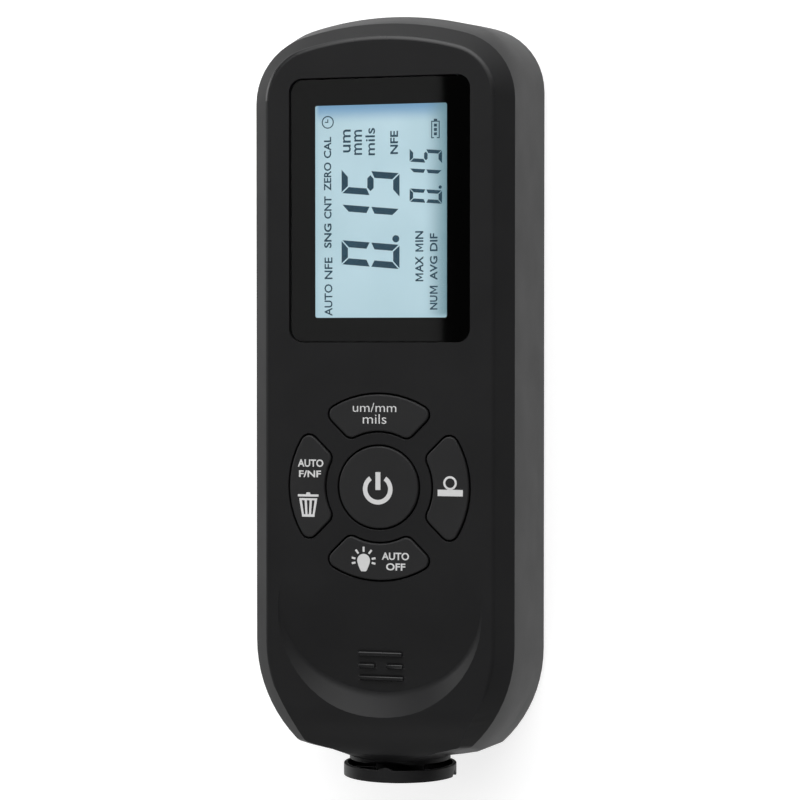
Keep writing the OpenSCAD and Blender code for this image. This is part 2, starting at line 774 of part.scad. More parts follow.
module key_power() {
    color([0.12, 0.12, 0.13]) translate([0, -key_y, 0]) {
        translate([0, 0, flange_top - flange_t])
            cylinder(r = power_r, h = body_d + key_proud - flange_top + flange_t, $fn = round_n);
        translate([0, 0, flange_top - flange_t])
            cylinder(r = power_r + flange_w, h = flange_t, $fn = round_n);
        translate([0, 0, pin_bottom]) cylinder(r = pin_r, h = flange_top - pin_bottom - weld, $fn = small_n);
    }
}

module key_units() {
    color([0.12, 0.12, 0.13]) ring_key(0);
}

module key_mode() {
    color([0.12, 0.12, 0.13]) ring_key(90);
}

module key_light() {
    color([0.12, 0.12, 0.13]) ring_key(180);
}

module key_zero() {
    color([0.12, 0.12, 0.13]) ring_key(270);
}

// A cell with its flat end at y = 0 and its button toward +Y
module cell() {
    rotate([-90, 0, 0]) cylinder(r = cell_r, h = cell_l - button_h, $fn = round_n);
    rotate([-90, 0, 0]) cylinder(r = button_r, h = cell_l, $fn = small_n);
}

module cell_left() {
    color([0.20, 0.35, 0.55]) translate([-cell_x, bay_top - plate_t - cell_l, cell_z]) cell();
}

module cell_right() {
    color([0.20, 0.35, 0.55]) translate([cell_x, bay_end + plate_t + cell_l, cell_z]) rotate(180) cell();
}

module contact_plates() {
    color([0.80, 0.80, 0.78]) {
        block(0, 2 * cell_x + plate_w, bay_end, bay_end + plate_t, cell_z - plate_w / 2, cell_z + plate_w / 2);
        for (s = [-1, 1]) {
            block(s * cell_x, plate_w, bay_top - plate_t, bay_top, cell_z - plate_w / 2, cell_z + plate_w / 2);
        }
    }
}

module contact_springs() {
    contact_turns = 3;
    color([0.80, 0.80, 0.78]) {
        translate([-cell_x, bay_end + plate_t, cell_z]) rotate([-90, 0, 0])
            coil(contact_r, contact_wire, contact_l, contact_turns);
        translate([cell_x, bay_top - plate_t, cell_z]) rotate([90, 0, 0])
            coil(contact_r, contact_wire, contact_l, contact_turns);
    }
}

module battery_cover() {
    grip_n = 3;
    grip_r = 0.4;
    color([0.13, 0.13, 0.14]) {
        difference() {
            union() {
                translate([0, 0, cover_z]) linear_extrude(cover_t) cover_shape(0, hinge_y);
                translate([0, hinge_y, hinge_z]) rotate([0, 90, 0])
                    cylinder(r = knuckle_r, h = cover_w, center = true, $fn = small_n);
            }
            for (k = [1:grip_n]) {
                translate([0, cover_y0 + cover_r + k * bar_step, cover_z]) rotate([0, 90, 0])
                    cylinder(r = grip_r, h = latch_w, center = true, $fn = small_n);
            }
        }
        translate([0, hinge_y, hinge_z]) rotate([0, 90, 0])
            cylinder(r = hinge_r, h = cover_w + 2 * hinge_l, center = true, $fn = small_n);
        block(0, latch_w, latch_y - bay_wall, latch_y, cover_z + cover_t - weld, cover_z + cover_t + latch_h);
    }
}

module case_screws() {
    slot_w = 0.6;
    color([0.55, 0.55, 0.57]) at_bosses() translate([0, 0, well_d]) difference() {
        union() {
            translate([0, 0, -head_h]) cylinder(r = head_r, h = head_h, $fn = small_n);
            translate([0, 0, -weld]) cylinder(r = screw_r, h = screw_l - head_h + weld, $fn = small_n);
        }
        for (turn = [0, 90]) {
            rotate(turn) translate([-head_r / 2, -slot_w / 2, -head_h - weld])
                cube([head_r, slot_w, head_h / 2 + weld]);
        }
    }
}

module probe_guide() {
    color([0.16, 0.16, 0.17]) difference() {
        rod(guide_r, guide_y0, guide_y1, round_n);
        rod(chamber_r, guide_y0 - guide_t, guide_y1 + guide_t, round_n);
        rod(stem_r + run_gap, guide_y0 + weld, guide_y1 - weld, round_n);
    }
}

module probe_spring() {
    color([0.70, 0.70, 0.72]) translate([0, -spring_y0, probe_z]) rotate([-90, 0, 0])
        coil(spring_r, spring_wire, spring_y0 - spring_y1, spring_turns);
}

module probe_clip() {
    color([0.60, 0.60, 0.62]) difference() {
        rod(chamber_r - run_gap, clip_y, clip_y - clip_t, round_n);
        rod(stem_r, clip_y + weld, clip_y - clip_t - weld, round_n);
    }
}

module probe_stem() {
    color([0.12, 0.12, 0.13]) difference() {
        rod(stem_r, stem_y0, stem_y1, round_n);
        rod(coil_hole, stem_y0 + weld, stem_y0 - coil_l - seat_gap, small_n);
        rod(core_r, stem_y0, stem_y0 - core_l, small_n);
    }
}

module probe_coil() {
    color([0.70, 0.38, 0.18]) difference() {
        rod(coil_hole - seat_gap, stem_y0 - seat_gap, stem_y0 - coil_l - seat_gap, small_n);
        rod(core_r, stem_y0 + weld, stem_y0 - coil_l - weld - weld, small_n);
    }
}

module probe_core() {
    tip_y = collar_y + collar_h - seat_gap;
    color([0.75, 0.75, 0.77]) {
        rod(core_r, tip_y - core_r / 2, stem_y0 - core_l, small_n);
        intersection() {
            translate([0, -tip_y + core_r, probe_z]) sphere(core_r, $fn = small_n);
            rod(core_r + weld, tip_y + weld, tip_y - core_r, small_n);
        }
    }
}

module probe_collar() {
    color([0.12, 0.12, 0.13]) difference() {
        union() {
            rod(collar_r, collar_y + collar_h, collar_y, round_n);
            intersection() {
                rod(collar_r, collar_y + collar_h, collar_y - bump_h, round_n);
                translate([0, -collar_y - bump_r + bump_h, probe_z])
                    cylinder(r = bump_r, h = past, $fn = small_n);
            }
        }
        rod(collar_r - collar_t, stem_y0, collar_y - past, round_n);
        rod(core_r + seat_gap, collar_y + collar_h + weld, collar_y, small_n);
        translate([0, -collar_y - collar_h, probe_z]) rotate([45, 0, 0])
            cube([past, notch_d * sqrt(2), notch_d * sqrt(2)], center = true);
    }
}

rear_shell();
front_shell();
lcd_window();
lcd_frame();
lcd_glass();
lcd_backlight();
lcd_connector();
main_board();
controller_chip();
buzzer();
keypad_mat();
switch_domes();
key_power();
key_units();
key_mode();
key_zero();
key_light();
cell_left();
cell_right();
contact_plates();
contact_springs();
battery_cover();
case_screws();
probe_guide();
probe_spring();
probe_clip();
probe_stem();
probe_coil();
probe_core();
probe_collar();
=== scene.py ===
import math
import bmesh
import bpy
from mathutils import Matrix, Vector


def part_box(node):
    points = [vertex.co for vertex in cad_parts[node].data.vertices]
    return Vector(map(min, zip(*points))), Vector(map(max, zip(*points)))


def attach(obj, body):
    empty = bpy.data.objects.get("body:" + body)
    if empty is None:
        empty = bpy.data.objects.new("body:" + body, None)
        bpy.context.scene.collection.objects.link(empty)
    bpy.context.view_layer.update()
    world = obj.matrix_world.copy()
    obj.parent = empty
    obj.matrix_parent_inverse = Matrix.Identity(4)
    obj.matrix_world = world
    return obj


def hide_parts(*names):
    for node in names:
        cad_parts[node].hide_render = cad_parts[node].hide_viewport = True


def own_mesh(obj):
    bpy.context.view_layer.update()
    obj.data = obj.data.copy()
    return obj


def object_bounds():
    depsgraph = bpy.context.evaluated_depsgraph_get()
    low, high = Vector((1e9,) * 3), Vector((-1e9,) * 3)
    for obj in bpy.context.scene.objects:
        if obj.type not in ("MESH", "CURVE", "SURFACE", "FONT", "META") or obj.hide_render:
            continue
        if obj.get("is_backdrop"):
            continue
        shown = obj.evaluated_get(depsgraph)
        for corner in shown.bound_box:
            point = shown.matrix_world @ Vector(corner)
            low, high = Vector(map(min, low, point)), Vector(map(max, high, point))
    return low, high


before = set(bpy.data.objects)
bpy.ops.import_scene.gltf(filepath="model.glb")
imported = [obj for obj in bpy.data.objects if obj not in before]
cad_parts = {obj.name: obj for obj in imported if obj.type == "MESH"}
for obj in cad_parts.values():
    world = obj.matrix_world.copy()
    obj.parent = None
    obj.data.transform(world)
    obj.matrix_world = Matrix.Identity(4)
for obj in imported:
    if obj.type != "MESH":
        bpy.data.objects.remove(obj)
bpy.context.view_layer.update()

# Rear shell
# The deep half of the case, black ABS from one mould whose walls were spark-eroded to a fine satin grain.
# Its ends lean out toward the back, and it carries the battery bay, the board posts and half of the nose.
mm = 0.001


def edges_to_ease(shape, wanted, crease=24):
    """The outer edges of a moulding that pass a test on their middle point."""
    sharp = math.radians(crease)
    return [e for e in shape.edges if e.is_manifold and e.is_convex and e.calc_face_angle() > sharp
            and wanted((e.verts[0].co + e.verts[1].co) / (2 * mm))]


def ease(shape, wanted, radius, steps=3, crease=24, clamp=True):
    """Rounds the chosen outer edges of a moulding, as its mould does, and returns the rounding's faces."""
    eased = bmesh.ops.bevel(shape, geom=edges_to_ease(shape, wanted, crease), offset=radius * mm,
                            offset_type="OFFSET", segments=steps, profile=0.5, affect="EDGES",
                            clamp_overlap=clamp, loop_slide=False, material=-1)
    return eased["faces"]


def moulding_from(node, joined=True):
    """A welded copy of a solid, its flat sides joined up again if wanted."""
    shape = bmesh.new()
    shape.from_mesh(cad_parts[node].data)
    bmesh.ops.remove_doubles(shape, verts=shape.verts, dist=0.001 * mm)
    if joined:
        bmesh.ops.dissolve_limit(shape, angle_limit=math.radians(0.3), verts=shape.verts, edges=shape.edges,
                                 use_dissolve_boundaries=False, delimit=set())
    return shape


def finished(shape, name, body, finish, crease=32, weighted=True):
    """Turns a bmesh into a smooth-shaded piece that rides on a body."""
    mesh = bpy.data.meshes.new(name)
    for face in shape.faces:
        face.smooth = True
    for edge in shape.edges:
        edge.smooth = edge.is_manifold and edge.calc_face_angle() < math.radians(crease)
    shape.to_mesh(mesh)
    shape.free()
    old_shading = mesh.attributes.get("custom_normal")
    if old_shading:
        mesh.attributes.remove(old_shading)
    piece = bpy.data.objects.new(name, mesh)
    bpy.context.scene.collection.objects.link(piece)
    mesh.materials.append(finish)
    if weighted:
        even = piece.modifiers.new("even_shading", "WEIGHTED_NORMAL")
        even.keep_sharp = True
        even.weight = 60
    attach(piece, body)
    return piece


def new_finish(name):
    """A new finish with its nodes, its links and its shader."""
    finish = bpy.data.materials.new(name)
    finish.use_nodes = True
    nodes = finish.node_tree.nodes
    return finish, nodes, finish.node_tree.links, nodes["Principled BSDF"]


def mottle(nodes, links, place, scale, detail):
    """Cloudy patches over a piece, as a share from 0 to 1."""
    patches = nodes.new("ShaderNodeTexNoise")
    patches.inputs["Scale"].default_value = scale
    patches.inputs["Detail"].default_value = detail
    links.new(place, patches.inputs["Vector"])
    return patches.outputs["Fac"]


def toned(nodes, links, share, deep, pale):
    """A colour that runs from deep to pale with the share."""
    tone = nodes.new("ShaderNodeMix")
    tone.data_type = "RGBA"
    tone.inputs[6].default_value = (*deep, 1)
    tone.inputs[7].default_value = (*pale, 1)
    links.new(share, tone.inputs[0])
    return tone.outputs[2]


def glossed(nodes, links, share, shine, dull, first=0, last=1):
    """A roughness that runs from shine to dull while the share goes from first to last."""
    gloss = nodes.new("ShaderNodeMapRange")
    gloss.inputs["From Min"].default_value = first
    gloss.inputs["From Max"].default_value = last
    gloss.inputs["To Min"].default_value = shine
    gloss.inputs["To Max"].default_value = dull
    links.new(share, gloss.inputs["Value"])
    return gloss.outputs["Result"]


def embossed(nodes, links, share, strength, depth):
    """A fine relief that rises with the share."""
    bump = nodes.new("ShaderNodeBump")
    bump.inputs["Strength"].default_value = strength
    bump.inputs["Distance"].default_value = depth * mm
    links.new(share, bump.inputs["Height"])
    return bump.outputs["Normal"]


def grained(name, deep, pale, shine, dull, grain, relief, specular=0.5):
    """Moulded plastic: cloudy tone, uneven gloss and a fine eroded grain."""
    finish, nodes, links, shader = new_finish(name)
    shader.inputs["Specular IOR Level"].default_value = specular
    place = nodes.new("ShaderNodeTexCoord").outputs["Object"]
    cloud = mottle(nodes, links, place, 90, 5)
    pits = mottle(nodes, links, place, grain, 3)
    links.new(toned(nodes, links, cloud, deep, pale), shader.inputs["Base Color"])
    links.new(glossed(nodes, links, cloud, shine, dull, 0.3, 0.7), shader.inputs["Roughness"])
    links.new(embossed(nodes, links, pits, relief, 0.02), shader.inputs["Normal"])
    return finish


rear_finish = grained("rear_plastic", (0.0100, 0.0100, 0.0105), (0.0135, 0.0135, 0.0140), 0.43, 0.48,
                      grain=5200, relief=0.25, specular=0.08)
parting = 23.75
shape = moulding_from("rear_shell")
ease(shape, lambda p: abs(p.z - parting) < 0.06, 0.18)
ease(shape, lambda p: p.z < 0.05, 0.25, crease=60)
rear_shell = finished(shape, "case_rear", "case", rear_finish)
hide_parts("rear_shell")

# Battery cells and their contacts
# Two AAA cells in plain heat-shrunk sleeves, held between plated spring-steel plates with coil springs.
# They lie head to tail in the bay, and show when the cover is swung open.
def sleeve_finish(name, deep, pale):
    """A glossy plastic sleeve over a steel can, in one tone with faint scuffs."""
    finish, nodes, links, shader = new_finish(name)
    shader.inputs["Roughness"].default_value = 0.28
    scuffs = mottle(nodes, links, nodes.new("ShaderNodeTexCoord").outputs["Object"], 700, 6)
    links.new(toned(nodes, links, scuffs, deep, pale), shader.inputs["Base Color"])
    return finish


def metal(name, deep, pale, shine, dull, grain, stretch=(1, 1, 1)):
    """Plated or drawn metal with fine lines and an uneven gloss."""
    finish, nodes, links, shader = new_finish(name)
    shader.inputs["Metallic"].default_value = 1
    turn = nodes.new("ShaderNodeMapping")
    turn.inputs["Scale"].default_value = stretch
    links.new(nodes.new("ShaderNodeTexCoord").outputs["Object"], turn.inputs["Vector"])
    lines = mottle(nodes, links, turn.outputs["Vector"], grain, 5)
    links.new(toned(nodes, links, lines, deep, pale), shader.inputs["Base Color"])
    links.new(glossed(nodes, links, lines, shine, dull), shader.inputs["Roughness"])
    links.new(embossed(nodes, links, lines, 0.15, 0.01), shader.inputs["Normal"])
    return finish


def dress(node, finish):
    """Gives a solid that keeps its own shape its finish."""
    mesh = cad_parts[node].data
    mesh.materials.clear()
    mesh.materials.append(finish)


can_steel = metal("can_steel", (0.50, 0.50, 0.50), (0.62, 0.62, 0.61), 0.22, 0.36, 900)
cell_wrap = sleeve_finish("cell", (0.030, 0.055, 0.105), (0.040, 0.070, 0.125))
for node, way in (("cell_left", 1), ("cell_right", -1)):
    low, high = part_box(node)
    middle = (low + high) / 2
    radius = (high.x - low.x) / 2
    length = high.y - low.y
    outline = [(0, 0), (radius - 1.6 * mm, 0), (radius - 1.5 * mm, 0.25 * mm), (radius - 0.9 * mm, 0.25 * mm),
               (radius - 0.45 * mm, 0.05 * mm), (radius - 0.1 * mm, 0.3 * mm), (radius - 0.02 * mm, 0.8 * mm),
               (radius - 0.02 * mm, length - 2.0 * mm), (radius - 0.1 * mm, length - 1.55 * mm),
               (radius - 0.5 * mm, length - 1.3 * mm), (1.85 * mm, length - 1.3 * mm),
               (1.8 * mm, length - 0.25 * mm), (1.55 * mm, length - 0.02 * mm), (0, length)]
    shape = bmesh.new()
    points = [shape.verts.new((r, y, 0)) for r, y in outline]
    lines = [shape.edges.new(pair) for pair in zip(points, points[1:])]
    bmesh.ops.spin(shape, geom=points + lines, cent=(0, 0, 0), axis=(0, 1, 0), angle=math.tau, steps=48,
                   use_merge=True, dvec=(0, 0, 0))
    bmesh.ops.remove_doubles(shape, verts=shape.verts, dist=0.002 * mm)
    if way < 0:
        bmesh.ops.rotate(shape, verts=shape.verts, matrix=Matrix.Rotation(math.pi, 3, "Z"), cent=(0, 0, 0))
    start = low.y if way > 0 else high.y
    bmesh.ops.translate(shape, verts=shape.verts, vec=(middle.x, start, middle.z))
    bmesh.ops.recalc_face_normals(shape, faces=shape.faces)
    for face in shape.faces:
        along = abs(face.calc_center_median().y - start)
        face.material_index = 0 if 0.2 * mm < along < length - 1.4 * mm else 1
    cell = finished(shape, node + "_can", "case", cell_wrap)
    cell.data.materials.append(can_steel)
    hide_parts(node)

plated = metal("contact", (0.52, 0.52, 0.50), (0.66, 0.66, 0.63), 0.20, 0.34, 1500, (0.2, 1, 1))
dress("contact_plates", plated)
shape = moulding_from("contact_springs")
contact_springs = finished(shape, "cell_springs", "case", plated, crease=75, weighted=False)
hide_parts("contact_springs")

# Main board
# A green solder-masked glass-fibre board on four posts, with the controller under an epoxy body and a buzzer.
# It stays inside the closed case.
board_green = grained("board", (0.008, 0.060, 0.026), (0.016, 0.095, 0.040), 0.30, 0.42, 900, 0.2)
dress("main_board", board_green)
dress("controller_chip", grained("chip", (0.012, 0.012, 0.012), (0.022, 0.022, 0.022), 0.5, 0.62, 4000, 0.4))
dress("buzzer", grained("buzzer_body", (0.010, 0.010, 0.011), (0.016, 0.016, 0.017), 0.4, 0.55, 2500, 0.3))

# Display holder
# A pale moulded frame that clips the glass over its light guide and squeezes the rubber strip to the board.
# Only its inner edge could be seen, deep under the window.
dress("lcd_frame", grained("frame_plastic", (0.42, 0.42, 0.40), (0.50, 0.50, 0.48), 0.45, 0.55, 3000, 0.2))
dress("lcd_backlight", grained("backlight", (0.66, 0.70, 0.72), (0.74, 0.78, 0.80), 0.25, 0.40, 1200, 0.1))
dress("lcd_connector", grained("elastomer", (0.30, 0.12, 0.17), (0.38, 0.16, 0.22), 0.5, 0.65, 2600, 0.4))

# Display glass
# A liquid crystal cell between two polarisers, lit from behind by lamps at its sides so that it glows pale
# blue. Its upper end is painted bluer and darker, partly the backlight's tone and partly painted shade from
# the window's border, and its right side is painted dimmer as the border's shade. It lies in the frame under
# the window and is read from the gauge's side.
low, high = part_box("lcd_glass")
shape = bmesh.new()
bmesh.ops.create_cube(shape, size=1)
bmesh.ops.scale(shape, verts=shape.verts, vec=high - low)
bmesh.ops.translate(shape, verts=shape.verts, vec=(low + high) / 2)
bmesh.ops.bevel(shape, geom=shape.edges[:], offset=0.12 * mm, offset_type="OFFSET", segments=2, profile=0.5,
                affect="EDGES", clamp_overlap=True, material=-1)
lit, nodes, links, shader = new_finish("display")
shader.inputs["Base Color"].default_value = (0.10, 0.13, 0.14, 1)
shader.inputs["Specular IOR Level"].default_value = 0.1
shader.inputs["Roughness"].default_value = 0.3
place = nodes.new("ShaderNodeTexCoord").outputs["Object"]
split = nodes.new("ShaderNodeSeparateXYZ")
links.new(place, split.inputs["Vector"])
patches = mottle(nodes, links, place, 70, 2)
colour = toned(nodes, links, patches, (0.35, 0.52, 0.58), (0.52, 0.69, 0.77))
# Painted shade: the upper end goes bluer and darker and the right side dimmer, as the window's border shades
# the cell; the lower end and left side fade to a set rim tone.
blue_shaded_end, painted_shade_side, pale_rim = (0.16, 0.33, 0.52, 1), (0.14, 0.26, 0.31, 1), (0.40, 0.58, 0.66, 1)
for axis, start, end, shade in (("Y", 45.4, 48.6, blue_shaded_end), ("X", 6.6, 11.6, painted_shade_side),
                                ("Y", 14.1, 12.7, pale_rim), ("X", -11.0, -12.0, pale_rim)):
    reach = nodes.new("ShaderNodeMapRange")
    reach.interpolation_type = "SMOOTHSTEP"
    reach.inputs["From Min"].default_value = start * mm
    reach.inputs["From Max"].default_value = end * mm
    links.new(split.outputs[axis], reach.inputs["Value"])
    edge = nodes.new("ShaderNodeMix")
    edge.data_type = "RGBA"
    edge.inputs[7].default_value = shade
    links.new(reach.outputs["Result"], edge.inputs[0])
    links.new(colour, edge.inputs[6])
    colour = edge.outputs[2]
links.new(colour, shader.inputs["Emission Color"])
shader.inputs["Emission Strength"].default_value = 1
display = finished(shape, "display_cell", "case", lit)
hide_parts("lcd_glass")

# Reading on the display
# Dark segments and signs that the crystal turns on: a slanted seven-bar reading, a smaller one and the signs
# for mode, units and cell. They lie on the top of the glass, as thin as the electrode that draws them.
def fitted_words(sheet, words, left, base, right, top, heavy=0.0):
    """Adds words to a flat sheet, fitted between four lines in millimetres."""
    curve = bpy.data.curves.new("words", "FONT")
    curve.body = words
    curve.offset = heavy
    curve.resolution_u = 3
    curve.fill_mode = "FRONT"
    holder = bpy.data.objects.new("words", curve)
    bpy.context.scene.collection.objects.link(holder)
    flat = bpy.data.meshes.new_from_object(holder.evaluated_get(bpy.context.evaluated_depsgraph_get()))
    bpy.data.objects.remove(holder)
    bpy.data.curves.remove(curve)
    xs = [v.co.x for v in flat.vertices]
    ys = [v.co.y for v in flat.vertices]
    stretch_x = (right - left) * mm / (max(xs) - min(xs))
    stretch_y = (top - base) * mm / (max(ys) - min(ys))
    flat.transform(Matrix.Translation((left * mm, base * mm, 0))
                   @ Matrix.Diagonal((stretch_x, stretch_y, 1, 1))
                   @ Matrix.Translation((-min(xs), -min(ys), 0)))
    sheet.from_mesh(flat)
    bpy.data.meshes.remove(flat)


def flat_patch(sheet, corners):
    """Adds one flat patch to a sheet from its corners in millimetres."""
    sheet.faces.new([sheet.verts.new((x * mm, y * mm, 0)) for x, y in corners])


def flat_bar(sheet, low_x, low_y, high_x, high_y):
    """Adds a square-cornered bar to a sheet."""
    flat_patch(sheet, [(low_x, low_y), (high_x, low_y), (high_x, high_y), (low_x, high_y)])


def flat_disc(sheet, x, y, radius, sides=28):
    """Adds a round patch to a sheet."""
    bmesh.ops.create_circle(sheet, cap_ends=True, segments=sides, radius=radius * mm,
                            matrix=Matrix.Translation((x * mm, y * mm, 0)))


def flat_ring(sheet, x, y, outer, inner, sides=48):
    """Adds a ring to a sheet and returns its patches."""
    place = Matrix.Translation((x * mm, y * mm, 0))
    rims = []
    for radius in (outer, inner):
        made = bmesh.ops.create_circle(sheet, cap_ends=False, segments=sides, radius=radius * mm,
                                       matrix=place)
        rims += list({e for v in made["verts"] for e in v.link_edges})
    return bmesh.ops.bridge_loops(sheet, edges=rims)["faces"]


def seven_bars(sheet, figure, left, base, width, height, bar, gap, slant):
    """Adds one figure of a seven-bar display."""
    w, h, t, g, m = width, height, bar, gap, height / 2
    bars = {
        "a": [(g, h), (w - g, h), (w - t - g, h - t), (t + g, h - t)],
        "d": [(t + g, t), (w - t - g, t), (w - g, 0), (g, 0)],
        "f": [(0, h - g), (t, h - t - g), (t, m + t / 2 + g), (0, m + g)],
        "e": [(0, m - g), (t, m - t / 2 - g), (t, t + g), (0, g)],
        "b": [(w, h - g), (w, m + g), (w - t, m + t / 2 + g), (w - t, h - t - g)],
        "c": [(w, m - g), (w, g), (w - t, t + g), (w - t, m - t / 2 - g)],
        "g": [(t / 2 + g, m), (t + g, m + t / 2), (w - t - g, m + t / 2), (w - t / 2 - g, m),
              (w - t - g, m - t / 2), (t + g, m - t / 2)],
    }
    for letter in {"0": "abcdef", "1": "bc", "5": "afgcd"}[figure]:
        flat_patch(sheet, [(left + x + slant * y, base + y) for x, y in bars[letter]])


def raised(sheet, thick):
    """Gives a flat sheet of marks its thickness."""
    bmesh.ops.recalc_face_normals(sheet, faces=sheet.faces)
    for face in sheet.faces:
        if face.normal.z < 0:
            face.normal_flip()
    up = bmesh.ops.extrude_face_region(sheet, geom=sheet.faces[:], use_keep_orig=True)
    bmesh.ops.translate(sheet, verts=[v for v in up["geom"] if isinstance(v, bmesh.types.BMVert)],
                        vec=(0, 0, thick * mm))
    bmesh.ops.recalc_face_normals(sheet, faces=sheet.faces)


sheet = bmesh.new()
for words, left, base, right, top, heavy in (
        ("AUTO", 12.91, 8.84, 18.24, 10.24, 0.014), ("NFE", 19.09, 8.84, 22.73, 10.22, 0.014),
        ("SNG", 24.33, 8.98, 28.42, 10.29, 0.024), ("CNT", 29.23, 8.98, 33.01, 10.29, 0.024),
        ("ZERO", 33.94, 9.03, 38.70, 10.33, 0.020), ("CAL", 39.40, 9.03, 42.98, 10.33, 0.020),
        ("um", 40.30, 5.61, 44.13, 6.98, 0.010), ("mm", 39.85, 3.65, 44.03, 5.02, 0.010),
        ("mils", 39.74, 1.38, 44.31, 3.06, 0.010), ("NFE", 39.86, -2.61, 43.74, -1.27, 0.024),
        ("AX", 20.12, -6.99, 22.78, -5.59, 0.022), ("IN", 25.18, -6.99, 26.97, -5.59, 0.022),
        ("NU", 13.89, -9.43, 16.26, -8.12, 0.022), ("AVG", 18.82, -9.43, 22.78, -8.12, 0.022),
        ("DIF", 23.61, -9.43, 26.58, -8.12, 0.022)):
    fitted_words(sheet, words, left, base, right, top, heavy)
wide, tall, stem = 1.32, 1.36, 0.23
letter_m = [(0, 0), (0, tall), (1.15 * stem, tall), (wide / 2, 0.38 * tall), (wide - 1.15 * stem, tall),
            (wide, tall), (wide, 0), (wide - stem, 0), (wide - stem, 0.70 * tall), (wide / 2, 0.10 * tall),
            (stem, 0.70 * tall), (stem, 0)]
for left, base in ((18.62, -6.99), (23.56, -6.99), (16.53, -9.45)):
    flat_patch(sheet, [(left + x, base + y) for x, y in letter_m])
for k, figure in enumerate("015"):
    seven_bars(sheet, figure, 20.68 + 5.97 * k, -2.87, 4.05, 10.09, 1.10, 0.15, 0.088)
    seven_bars(sheet, figure, 31.46 + 3.33 * k, -10.2, 2.22, 5.57, 0.60, 0.09, 0.075)
flat_disc(sheet, 25.74, -2.24, 0.60)
flat_disc(sheet, 34.23, -9.88, 0.28, 14)
flat_ring(sheet, 45.42, 9.64, 1.06, 0.88)
clock_hands = ((45.34, 9.56, 45.50, 10.14), (45.50, 9.56, 45.92, 9.72))
cell_outline = ((42.35, -8.51, 45.25, -8.34), (42.35, -9.80, 45.25, -9.63), (45.08, -9.63, 45.25, -8.51),
                (45.25, -9.35, 45.58, -8.79), (42.35, -9.63, 42.52, -9.32), (42.35, -8.82, 42.52, -8.51))
for corners in clock_hands + cell_outline:
    flat_bar(sheet, *corners)
for along in (43.08, 43.80, 44.52):
    flat_bar(sheet, along - 0.24, -9.33, along + 0.24, -8.81)
segment_thick, marks_shift = 0.02, 0.5 * mm
raised(sheet, segment_thick)
bmesh.ops.rotate(sheet, verts=sheet.verts, matrix=Matrix.Rotation(math.pi / 2, 3, "Z"), cent=(0, 0, 0))
bmesh.ops.translate(sheet, verts=sheet.verts, vec=(0, marks_shift, high.z + 0.001 * mm))
segment_ink, nodes, links, shader = new_finish("segments")
shader.inputs["Specular IOR Level"].default_value = 0.1
shader.inputs["Roughness"].default_value = 0.4
patches = mottle(nodes, links, nodes.new("ShaderNodeTexCoord").outputs["Object"], 400, 2)
ink = toned(nodes, links, patches, (0.003, 0.025, 0.044), (0.005, 0.037, 0.062))
links.new(ink, shader.inputs["Base Color"])
links.new(ink, shader.inputs["Emission Color"])
shader.inputs["Emission Strength"].default_value = 0.9
finished(sheet, "display_reading", "case", segment_ink, weighted=False)

# Keypad mat and switch domes
# A grey silicone sheet with five openings, and a pressed steel dome in each that clicks onto the board.
# Both are hidden under the keys.
dress("keypad_mat", grained("mat", (0.075, 0.075, 0.080), (0.10, 0.10, 0.105), 0.55, 0.68, 2200, 0.4))
dress("switch_domes", metal("dome_steel", (0.54, 0.54, 0.52), (0.66, 0.66, 0.64), 0.18, 0.30, 1400))

# Front shell
# The bevelled lid of the case, satin black ABS moulded with the thumb scoop, three grip bars and the chin. A
# tongue locates it in the rear shell. The bars and the edge at the display end are rubbed smooth by handling.
front_finish = grained("front_plastic", (0.0105, 0.0105, 0.0109), (0.0135, 0.0135, 0.0140), 0.42, 0.50,
                       grain=5200, relief=0.22, specular=0.12)
rubbed_finish = grained("rubbed_edge", (0.0100, 0.0100, 0.0104), (0.0130, 0.0130, 0.0135), 0.24, 0.32,
                        grain=5200, relief=0.10, specular=0.26)
shape = moulding_from("front_shell")
window_low, window_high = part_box("lcd_window")
margin = 0.3
face_z = 27
key_ring_y, key_ring_radius = -15.2, 16.4
scoop_y, scoop_radius, scoop_top = -36.2, 18.2, -30.5
bars_half_width, bars_low, bars_high, bars_floor = 4.1, -48.2, -42.4, 24
chin_y = -49
display_end = 50 * mm


def on_window(p):
    """Whether a point lies in the window's opening."""
    return (abs(p.x) < window_high.x / mm + margin
            and window_low.y / mm - margin < p.y < window_high.y / mm + margin)


def on_keys(p):
    """Whether a point lies in the ring of key openings."""
    return math.hypot(p.x, p.y - key_ring_y) < key_ring_radius


def on_scoop(p):
    """Whether a point lies in the thumb scoop."""
    return math.hypot(p.x, p.y - scoop_y) < scoop_radius and p.y < scoop_top


def on_bars(p):
    """Whether a point lies on the grip bars."""
    return abs(p.x) < bars_half_width and bars_low < p.y < bars_high and p.z > bars_floor


def on_face(p):
    """Whether a point lies at the height of the face."""
    return p.z > face_z - 0.1


def on_rim(p):
    """Whether a point lies on the outer edge of the face."""
    return on_face(p) and p.y > chin_y and not (on_window(p) or on_keys(p) or on_scoop(p))


for face in ease(shape, on_bars, 0.30, crease=50, clamp=False):
    face.material_index = 1
ease(shape, lambda p: on_face(p) and on_window(p), 0.14)
ease(shape, lambda p: on_face(p) and on_keys(p) and not on_scoop(p), 0.12)
for face in ease(shape, on_rim, 0.45, clamp=False):
    face.material_index = 1 if face.calc_center_median().y > display_end else 0
ease(shape, lambda p: abs(p.z - parting) < 0.06, 0.15)
front_shell = finished(shape, "case_front", "case", front_finish)
front_shell.data.materials.append(rubbed_finish)
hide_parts("front_shell")

# Display window
# A cast acrylic pane laid on the ledge of the front shell, printed black behind except over the display.
# Its edge is polished and sits below the face.
low, high = window_low, window_high


